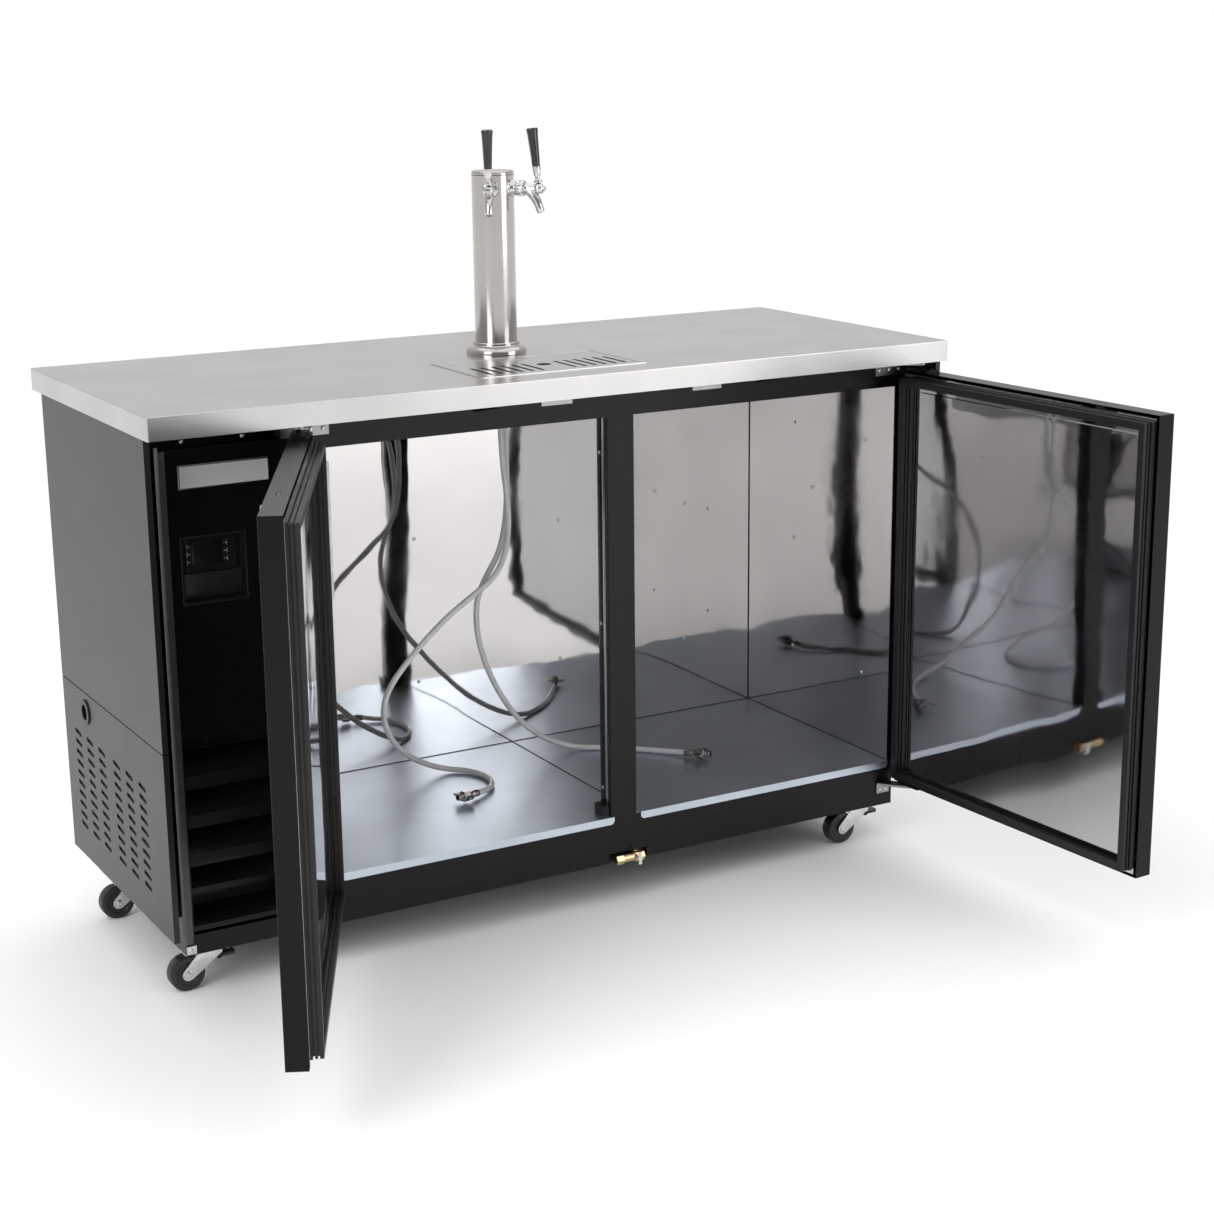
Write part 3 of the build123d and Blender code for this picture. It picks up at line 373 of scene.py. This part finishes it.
def add_tube(bm, points, radius, sides=8, closed_ends=True):
    """A round tube along points in row-frame metres; radius in metres, one or one for each point."""
    radii = radius if isinstance(radius, (list, tuple)) else [radius] * len(points)
    rings = []
    normal = None
    for i, point in enumerate(points):
        ahead = points[min(i + 1, len(points) - 1)] - points[max(i - 1, 0)]
        ahead.normalize()
        if normal is None:
            normal = ahead.orthogonal().normalized()
        normal = (normal - ahead * normal.dot(ahead)).normalized()
        side = ahead.cross(normal)
        turns = (2 * pi * k / sides for k in range(sides))
        rings.append([bm.verts.new(point + (normal * cos(t) + side * sin(t)) * radii[i]) for t in turns])
    for low, high in zip(rings, rings[1:]):
        for k in range(sides):
            bm.faces.new((low[k], low[(k + 1) % sides], high[(k + 1) % sides], high[k]))
    if closed_ends:
        bm.faces.new(reversed(rings[0]))
        bm.faces.new(rings[-1])


def facing(point, direction, up=(0, 0, 1)):
    """A frame at a point whose z axis points along a direction."""
    z = Vector(direction).normalized()
    x = Vector(up).cross(z)
    x = x.normalized() if x.length > 1e-6 else Vector((1, 0, 0))
    y = z.cross(x)
    return Matrix.Translation(point) @ Matrix((x, y, z)).transposed().to_4x4()


# ------------------------------------------------------------------ beer lines
LINE_DIAMETER = 0.011
LINE_ROUTES = {
    "left": [
        (0, 325, 917), (0, 325, 828), (15, 328, 722), (14, 332, 648), (-8, 338, 590),
        (-63, 345, 553), (-112, 352, 518), (-173, 366, 456), (-218, 382, 393), (-225, 398, 341),
        (-199, 428, 280), (-149, 462, 227), (-102, 482, 196), (-58, 484, 177), (-23, 458, 176),
        (-6, 412, 176), (-13, 364, 176), (-42, 327, 177), (-84, 311, 181.5),
    ],
    "right": [
        (19, 343, 917), (19, 343, 822), (22, 347, 716), (8, 351, 635), (-20, 356, 590),
        (-38, 362, 549), (-39, 368, 506), (-30, 378, 458), (-3, 396, 392), (42, 420, 318),
        (99, 448, 251), (166, 470, 201), (230, 468, 176), (283, 435, 176), (330, 395, 176),
        (368, 350, 177), (400, 303, 181.5),
    ],
}


def line_curve(side):
    """The clear outer wall of one beer line, a smooth curve on its CAD route."""
    data = bpy.data.curves.new(f"beer_line_{side}", "CURVE")
    data.dimensions = "3D"
    data.bevel_depth = 1.0  # times each point's radius, by which the curve's bounding box is padded
    data.bevel_resolution = 6
    data.resolution_u = 10
    data.use_fill_caps = True
    spline = data.splines.new("NURBS")
    points = [at(*p) for p in LINE_ROUTES[side]]
    spline.points.add(len(points) - 1)
    for control, point in zip(spline.points, points):
        control.co = (*point, 1)
        control.radius = LINE_DIAMETER / 2
    spline.order_u = 3
    spline.use_endpoint_u = True
    data.materials.append(LOOK["hose"])
    curve = bpy.data.objects.new(f"hose_{side}", data)
    bpy.context.scene.collection.objects.link(curve)
    return curve


def centreline(curve):
    """Points along a curve's own smooth line."""
    depth = curve.data.bevel_depth
    curve.data.bevel_depth = 0
    mesh = bpy.data.meshes.new_from_object(curve.evaluated_get(bpy.context.evaluated_depsgraph_get()))
    points = [v.co.copy() for v in mesh.vertices]
    bpy.data.meshes.remove(mesh)
    curve.data.bevel_depth = depth
    return points


def even_points(points, step):
    """Points at an even spacing along a line."""
    out, gap = [points[0]], step
    for a, b in zip(points, points[1:]):
        run = (b - a).length
        while run >= gap:
            a = a.lerp(b, gap / run)
            out.append(a.copy())
            run, gap = (b - a).length, step
        gap -= run
    return out


def line_braid(side, points):
    """The woven threads in the hose wall and the inner bore, seen through it."""
    thread, wind, count, pitch = 0.00034, 0.0044, 6, 0.030
    steps = even_points(points, 0.0025)
    normal, frames = None, []
    for i, point in enumerate(steps):
        ahead = (steps[min(i + 1, len(steps) - 1)] - steps[max(i - 1, 0)]).normalized()
        normal = ahead.orthogonal() if normal is None else normal
        normal = (normal - ahead * normal.dot(ahead)).normalized()
        frames.append((point, normal, ahead.cross(normal)))
    bm = bmesh.new()
    for hand in (-1, 1):
        for k in range(count):
            strand = []
            for i, (point, n, s) in enumerate(frames):
                turn = 2 * pi * (k / count + hand * i * 0.0025 / pitch)
                strand.append(point + (n * cos(turn) + s * sin(turn)) * wind)
            add_tube(bm, strand, thread, 4)
    braid = piece(f"hose_braid_{side}", bm, "braid")
    core = bmesh.new()
    add_tube(core, steps, 0.0030, 12)
    bore = piece(f"hose_bore_{side}", core, "braid")
    return braid, bore


def make_coupler(side):
    """A crimped hose tail, a wing nut and its open nose, past the end of a line."""
    before, end = (at(*p) for p in LINE_ROUTES[side][-2:])
    place = facing(end, end - before)
    bm = bmesh.new()
    crimp, crimp_step = ((6.7, -14), (6.7, -12), (6.1, -11.6), (6.1, -10.2)), 4.4
    crimps = [(r, z + crimp_step * k) for k in range(3) for r, z in crimp]
    add_lathe(bm, [(0, -15), (6.2, -15), *crimps, (5.0, 0.5), (4.6, 2), (4.6, 8), (7.6, 9), (8.4, 10.5), (8.4, 12),
                   (0, 12)], place, 28)
    add_lathe(bm, [(0, 12), (9.3, 12), (10.8, 13.6), (10.8, 27.4), (9.3, 29), (0, 29)], place, 6)
    add_lathe(bm, [
        (0, 29), (7.2, 29), (7.2, 31), (6.2, 32), (6.2, 39.5), (5.6, 40.8), (3.7, 40.8), (3.7, 34), (0, 34),
    ], place, 28)
    wing = [
        (7, 12.5), (14, 13.5), (20, 17), (22.6, 22.5), (22.8, 28), (20.4, 30), (17.5, 27.5), (13, 25.5), (7, 27.5),
    ]
    for hand in (1, -1):
        outline = wing if hand == 1 else [(-x, z) for x, z in reversed(wing)]
        add_plate(bm, outline, 4.2, place, 1.1)
    coupler = piece(f"coupler_{side}", bm, "nickel")
    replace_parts(coupler, f"line_coupler_{side}")
    return coupler


def make_lines():
    for side in SIDES:
        curve = line_curve(side)
        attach(curve, CABINET)
        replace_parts(curve, f"beer_line_{side}")
        braid, bore = line_braid(side, centreline(curve))
        make_coupler(side)


make_lines()


# ------------------------------------------------------------------ lights and room
def make_room():
    """A white backdrop for the camera and, for reflections, a dim front and a brighter back and top."""
    scene = bpy.context.scene
    scene.view_settings.view_transform = "Standard"
    world = bpy.data.worlds.new("studio")
    world.use_nodes = True
    scene.world = world
    tree = world.node_tree
    lit = tree.nodes["Background"]
    lit.inputs["Color"].default_value = (1.0, 0.988, 0.978, 1)
    shown = tree.nodes.new("ShaderNodeBackground")
    shown.inputs["Strength"].default_value = 1.0
    shown.inputs["Color"].default_value = (1, 1, 1, 1)
    coords = tree.nodes.new("ShaderNodeTexCoord")
    total = None
    for direction, low, high in (((0.35, 0.94, 0), 0.10, 0.58), ((0, 0, 1), -0.25, 0.45)):
        along = tree.nodes.new("ShaderNodeVectorMath")
        along.operation = "DOT_PRODUCT"
        along.inputs[1].default_value = direction
        tree.links.new(coords.outputs["Generated"], along.inputs[0])
        level = tree.nodes.new("ShaderNodeMapRange")
        level.inputs["From Min"].default_value = -1
        level.inputs["To Min"].default_value, level.inputs["To Max"].default_value = low, high
        tree.links.new(along.outputs["Value"], level.inputs["Value"])
        if total:
            add = tree.nodes.new("ShaderNodeMath")
            tree.links.new(total, add.inputs[0])
            tree.links.new(level.outputs["Result"], add.inputs[1])
            total = add.outputs["Value"]
        else:
            total = level.outputs["Result"]
    tree.links.new(total, lit.inputs["Strength"])
    path = tree.nodes.new("ShaderNodeLightPath")
    mix = tree.nodes.new("ShaderNodeMixShader")
    tree.links.new(path.outputs["Is Camera Ray"], mix.inputs["Fac"])
    tree.links.new(lit.outputs["Background"], mix.inputs[1])
    tree.links.new(shown.outputs["Background"], mix.inputs[2])
    tree.links.new(mix.outputs["Shader"], tree.nodes["World Output"].inputs["Surface"])


def softbox(name, place, target, size, power):
    data = bpy.data.lights.new(name, "AREA")
    data.shape = "RECTANGLE"
    data.size, data.size_y = size
    data.energy = power
    lamp = bpy.data.objects.new(name, data)
    lamp.matrix_world = facing(Vector(place), Vector(place) - Vector(target))
    bpy.context.scene.collection.objects.link(lamp)


def overhead(strength):
    """One even light from all over the ceiling, so that the floor stays as pale far away."""
    data = bpy.data.lights.new("ceiling", "SUN")
    data.energy, data.angle = strength, radians(100)
    lamp = bpy.data.objects.new("ceiling", data)
    lamp.matrix_world = facing(Vector((0, 0, 5)), (0.12, -0.15, 1))
    bpy.context.scene.collection.objects.link(lamp)


def make_floor():
    bm = bmesh.new()
    bmesh.ops.create_grid(bm, x_segments=1, y_segments=1, size=60)
    mesh = bpy.data.meshes.new("floor")
    bm.to_mesh(mesh)
    bm.free()
    s = Shader("pale_floor", (0.92, 0.92, 0.92), 0.9)
    s.vary_colour(s.noise(2, (1, 1, 1), 2), 0.995, 1.01)
    mesh.materials.append(s.material)
    floor = bpy.data.objects.new("floor", mesh)
    bpy.context.scene.collection.objects.link(floor)


make_room()
softbox("key", (-3.6, -1.6, 2.6), (-0.3, 0.2, 0.6), (2.0, 2.4), 80)
softbox("front", (2.9, -4.1, 1.9), (0.1, 0, 0.65), (2.3, 2.5), 64)
overhead(1.35)
make_floor()


# ------------------------------------------------------------------ frames on moving bodies
def tap_place(side, lean=0.0):
    """A tap's own frame at its lever's hinge: x out from the tower, z up."""
    joint = joints[f"tap_{side}_pull"]
    across = Vector(joint["axis"])
    out = across.cross(Vector((0, 0, 1)))
    turn = Matrix((out, across, Vector((0, 0, 1)))).transposed().to_4x4()
    return Matrix.Translation(Vector(joint["pos_m"])) @ turn @ Matrix.Rotation(radians(lean), 4, "Y")


# ------------------------------------------------------------------ screws
def add_screw(bm, point, direction, radius=4.0):
    """A pan-head screw with a cross recess, standing out of a face."""
    place = facing(point, direction)
    r = radius
    add_lathe(bm, [(0, 1.9), (r * 0.45, 1.75), (r * 0.8, 1.3), (r, 0.5), (r, -0.6), (0, -0.6)], place, 20)
    for turn in (0, pi / 2):
        bar = place @ Matrix.Rotation(turn, 4, "Z")
        add_block(bm, Vector((-r * 0.5, -0.45, 1.45)) * MM, Vector((r * 0.5, 0.45, 2.05)) * MM, 0.1, bar, 1)


def make_screws():
    spots = [((x, 88.5, 952), (0, -1, 0)) for x in (-691, -588)]
    spots += [((89.4, 116, z), (-1, 0, 0)) for z in (850, 535, 222)]
    spots += [((722, y, z), (-1, 0, 0)) for y in (180, 420) for z in (330, 560, 800)]
    spots += [((x, 588, z), (0, -1, 0)) for x in (-330, -60, 260, 560) for z in (330, 620, 850)]
    bm = bmesh.new()
    for point, direction in spots:
        add_screw(bm, at(*point), direction, 3.6)
    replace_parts(piece("cabinet_screws", bm, "zinc"), "fasteners")
    bm = bmesh.new()
    for side in SIDES:
        pivot = Vector(joints[f"door_{side}_swing"]["pos_m"])
        x = pivot.x / MM
        for dx in (16, 38, 60):
            add_screw(bm, at(x + INWARD[side] * dx, 85.5, 951), (0, -1, 0), 4.0)
        for dx in (26, 40):
            add_screw(bm, at(x + INWARD[side] * dx, 85.5, 114), (0, -1, 0), 3.6)
    piece("hinge_screws", bm, "zinc")


make_screws()


# ------------------------------------------------------------------ taps
LEVER_LEAN = {"left": 3.0, "right": -6.0}
TAP_REACH = 88.0


def make_tap(side):
    """A faucet turned from several rings, its swept spout, its lever collar and its black handle."""
    place = tap_place(side)
    along = place @ Matrix.Translation(Vector((-TAP_REACH * MM, 0, 0))) @ Matrix.Rotation(pi / 2, 4, "Y")
    bm = bmesh.new()
    add_lathe(bm, [
        (0, 34.6), (15.5, 34.6), (15.5, 38.8), (14.6, 40.4), (13.2, 42.6), (12.4, 44.8), (12.4, 46), (13.2, 46.5),
        (13.6, 48), (13.6, 60.4), (13.0, 61.8), (11.2, 62.8), (9.4, 63.2), (8.2, 65), (7.8, 70), (7.8, 82), (8.0, 90),
        (6.4, 92.6), (4.4, 93.4), (4.1, 94.2), (4.9, 95), (4.9, 99.4), (4.2, 100.7), (0, 101),
    ], along, 48)
    for k in range(24):  # grips round the coupling nut
        grip = along @ Matrix.Rotation(2 * pi * k / 24, 4, "Z")
        add_block(bm, Vector((13.2, -0.65, 49)) * MM, Vector((14.2, 0.65, 60)) * MM, 0.35, grip, 1)
    add_lathe(bm, [
        (0, -9), (6.4, -9), (8.2, -7), (9.4, -3), (10.0, 0), (9.9, 2), (9.3, 4), (8.3, 5.8), (6.8, 7.5), (4.6, 9.0),
        (2.4, 9.8), (0, 10.1),
    ], place, 40)
    spine = [(-24, -1), (-18, -4.5), (-12, -10), (-6.8, -17), (-2.6, -25), (0.6, -33), (3.3, -41), (3.6, -41.9)]
    swell = [7.6, 8.6, 8.9, 8.4, 7.8, 7.2, 6.8, 6.3]
    add_tube(bm, [place @ (Vector((x, 0, z)) * MM) for x, z in spine], [r * MM for r in swell], 32)
    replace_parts(piece(f"faucet_{side}", bm, "chrome"), f"faucet_body_{side}")
    bm = bmesh.new()
    # a dark disk on the spout's closed end: painted shade standing in for its open mouth
    mouth = place @ Matrix.Translation(Vector((3.6, 0, -41.9)) * MM) @ Matrix.Rotation(radians(-22.4), 4, "Y")
    add_lathe(bm, [(0, 1), (5.0, 1), (5.0, -0.25), (0, -0.25)], mouth, 24)
    piece(f"spout_mouth_shade_{side}", bm, "seam")

    lean = tap_place(side, LEVER_LEAN[side])
    bm = bmesh.new()
    add_lathe(bm, [
        (0, 10.4), (7.2, 10.4), (8, 11.2), (8, 13.4), (6.8, 14.4), (4.6, 15), (4.3, 18), (4.6, 21.4), (6, 22.2),
        (6.4, 24), (6.9, 30), (7.4, 37), (7.4, 38.6), (6.6, 39.2), (0, 39.2),
    ], lean, 40)
    lever = piece(f"lever_{side}", bm, "chrome", f"tap_{side}")
    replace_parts(lever, f"tap_lever_{side}")
    bm = bmesh.new()
    add_lathe(bm, [
        (0, 39.2), (6.9, 39.2), (7.3, 40.2), (7.4, 46), (7.9, 60), (8.7, 78), (9.6, 94), (10.3, 101), (10.4, 103.4),
        (9.9, 105), (8.6, 105.8), (0, 106),
    ], lean, 44)
    handle = piece(f"handle_{side}", bm, "handle", f"tap_{side}")
    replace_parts(handle, f"tap_handle_{side}")


def make_tower():
    """The flange's turned shape, with a bead where the column meets it, and the cap's seam."""
    centre = at(0, 333, 0)
    place = Matrix.Translation(centre)
    bm = bmesh.new()
    add_lathe(bm, [
        (38.15, 1010), (55, 1010), (55, 1016.5), (54, 1019.5), (51, 1022.6), (47, 1024.6), (43.6, 1025.6),
        (42.4, 1027), (42.4, 1030.6), (41, 1032), (38.15, 1032),
    ], place, 96)
    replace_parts(piece("tower_foot", bm, "tower"), "tower_flange")
    bm = bmesh.new()
    add_lathe(bm, [(38.0, 1329.2), (38.35, 1329.4), (38.35, 1330.4), (38.0, 1330.6)], place, 96)
    piece("tower_cap_seam", bm, "seam")


for tap_side in SIDES:
    make_tap(tap_side)
make_tower()


# ------------------------------------------------------------------ side vents and port
VENT_COLUMNS = [140 + 67.5 * i for i in range(3)] + [357 + 67 * i for i in range(3)]
VENT_ROWS = [197 + 19.45 * i for i in range(10)]


def make_vents():
    """Pressed louvres: each slot's lower edge curls inwards and up behind it."""
    length, height, depth, steps = 35.0, 7.4, 5.5, 6
    tilt = Matrix.Rotation(radians(6), 4, "X")
    bm = bmesh.new()
    for y in VENT_COLUMNS:
        for z in VENT_ROWS:
            place = Matrix.Translation(at(-774.2, y, z)) @ tilt
            for shell in (0, 0.5):
                rows = []
                for k in range(steps + 1):
                    t = k / steps * pi / 2
                    inward = depth * sin(t) - shell
                    drop = height * (1 - cos(t)) * 0.85
                    half = length / 2 - 2 * (1 - cos(t * 0.5))
                    ends = (-half, -half * 0.5, 0, half * 0.5, half)
                    rows.append([
                        bm.verts.new(place @ (Vector((inward, e, drop - height / 2 - 0.3)) * MM)) for e in ends
                    ])
                for a, b in zip(rows, rows[1:]):
                    for i in range(4):
                        bm.faces.new((a[i], a[i + 1], b[i + 1], b[i]))
    piece("vent_louvres", bm, "side")


make_vents()


# ------------------------------------------------------------------ controller and badge
def make_controller():
    """The thermostat's screen, keys and the finger recess below it."""
    face_y = 95.4
    bm = bmesh.new()
    add_block(bm, at(-681, face_y - 0.8, 747), at(-630, face_y + 0.6, 783), 1.4)
    piece("controller_screen", bm, "screen")
    bm = bmesh.new()
    for x, stem in ((-686.5, -689.5), (-624.5, -621.5)):
        for z in (752, 765, 778):
            add_block(bm, at(x - 2.8, face_y - 0.6, z - 0.5), at(x + 2.8, face_y + 0.4, z + 0.6), 0.3)
            add_block(bm, at(stem - 0.4, face_y - 0.6, z - 4), at(stem + 0.5, face_y + 0.4, z + 4), 0.3)
    piece("controller_keys", bm, "mark")
    bm = bmesh.new()
    tilt = Matrix.Translation(at(-646.5, 98.6, 712)) @ Matrix.Rotation(radians(7), 4, "X")
    add_block(bm, Vector((-49, -0.7, -22)) * MM, Vector((49, 0.7, 21)) * MM, 0.5, tilt)
    piece("controller_apron", bm, "bezel")
    bm = bmesh.new()
    for low, high in (((-702.6, 682.4), (-700.4, 795.6)), ((-592.6, 682.4), (-590.4, 795.6)),
                      ((-702.6, 793.4), (-590.4, 795.6)), ((-702.6, 682.4), (-590.4, 684.6))):
        add_block(bm, at(low[0], 87.7, low[1]), at(high[0], 89.4, high[1]), 0.7)
    piece("controller_bezel", bm, "bezel")


def make_badge():
    """A blank name plate with a raised bright rim."""
    left, right, low, high, rim = -700, -546, 874, 913, 2.2
    bm = bmesh.new()
    for a, b in (((left, low), (right, low + rim)), ((left, high - rim), (right, high)),
                 ((left, low), (left + rim, high)), ((right - rim, low), (right, high))):
        add_block(bm, at(a[0], 85.6, a[1]), at(b[0], 87.2, b[1]), 0.5)
    piece("badge_rim", bm, "chrome")


make_controller()
make_badge()


# ------------------------------------------------------------------ mullion, hooks and seams
def make_mullion_trim():
    """The steel edge and black strip on the mullion's left flank."""
    bm = bmesh.new()
    add_block(bm, at(89.0, 99.5, 172), at(90.2, 107, 915), 0.4)
    piece("mullion_edge", bm, "tower")
    bm = bmesh.new()
    add_block(bm, at(88.9, 107.4, 172), at(90.2, 124.2, 915), 0.5)
    piece("mullion_strip", bm, "black")


def make_cover_trim():
    """The cover's rolled left edge and a strip on the side panel's front, both in grey paint that is a painted
    highlight, and the small bracket that holds its foot.
    """
    bm = bmesh.new()
    # both strips take the grey edge paint, a painted highlight on the black
    add_block(bm, at(-733.4, 86.2, 100), at(-720.5, 89.2, 939), 1.4, segments=4)
    add_block(bm, at(-758, 23.5, 137), at(-752, 26, 958), 1.0, segments=3)
    piece("cover_edge", bm, "edge")
    bm = bmesh.new()
    add_block(bm, at(-733, 86.4, 82), at(-716, 88.6, 97), 0.6)
    add_screw(bm, at(-725, 86.6, 89.5), (0, -1, 0), 3.4)
    piece("cover_bracket", bm, "zinc")


def make_hooks():
    """Two small stays hung under the top rail."""
    bm = bmesh.new()
    for x in (-160, 412):
        add_block(bm, at(x - 22, 56, 956), at(x + 22, 88, 958.5), 0.6)
        add_block(bm, at(x - 4, 60, 953.2), at(x + 4, 66, 957), 1.2)
    piece("door_stays", bm, "black")


def make_seams():
    """Lines of dark sealant where the liners meet."""
    bm = bmesh.new()
    left, right, back, low, high = -448, 722, 588, 170, 917
    add_block(bm, at(left, back - 1.2, low), at(right, back, low + 1.2), 0.5)
    add_block(bm, at(right - 1.2, 96, low), at(right, back, low + 1.2), 0.5)
    add_block(bm, at(left, 96, low), at(left + 1.2, back, low + 1.2), 0.5)
    add_block(bm, at(right - 1.4, back - 1.4, low), at(right, back, high), 0.5)
    add_block(bm, at(left, back - 1.4, low), at(left + 1.4, back, high), 0.5)
    add_block(bm, at(143.4, 96, low), at(146.6, back, low + 0.9), 0.4)
    piece("liner_seams", bm, "seam")


make_mullion_trim()
make_cover_trim()
make_hooks()
make_seams()


# ------------------------------------------------------------------ casters
CORNERS = ("front_left", "front_right", "back_left", "back_right")


def make_caster(corner):
    """A wheel with a grooved tread and a hub, and the nuts at its axle's ends."""
    low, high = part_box(f"caster_wheel_{corner}")
    centre = (low + high) / 2
    across = facing(centre, (0, 1, 0))
    bm = bmesh.new()
    half = [(4.05, 13), (8, 13), (9, 11.5), (19, 11.2), (21, 12.8), (27.5, 12.8), (30.2, 11.6), (31.4, 8.6), (31.5, 3),
            (30.9, 2.2), (30.9, 0)]
    profile = half + [(r, -h) for r, h in reversed(half[:-1])]
    add_lathe(bm, profile + [half[0]], across, 64)
    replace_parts(piece(f"wheel_{corner}", bm, "wheel", f"wheel_{corner}"), f"caster_wheel_{corner}")
    bm = bmesh.new()
    outline = rounded_hull([(19, 36), (61, 36), (61, 29)], [(0, 0, 11.2)])
    for hand in (-1, 1):
        add_plate(bm, outline, 2.4, Matrix.Translation(centre + Vector((0, hand * 15.4 * MM, 0))), 0.6)
        end = centre + Vector((0, hand * 16.6 * MM, 0))
        add_lathe(bm, [(0, -0.5), (6.6, -0.5), (6.6, 0.6), (5.6, 1.0), (5.4, 4.2), (4.6, 5), (0, 5)],
                  facing(end, (0, hand, 0)), 6)
    add_block(bm, centre + Vector((19, -16.6, 33.4)) * MM, centre + Vector((61, 16.6, 36.4)) * MM, 1.0)
    race = Matrix.Translation(centre + Vector((40 * MM, 0, 0)))
    add_lathe(bm, [(0, 36.2), (21.4, 36.2), (22.8, 37.2), (22.8, 38.6), (21.8, 39.6), (0, 39.6)], race, 48)
    fork = piece(f"fork_{corner}", bm, "zinc", f"caster_{corner}")
    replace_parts(fork, f"caster_fork_{corner}")


for caster_corner in CORNERS:
    make_caster(caster_corner)
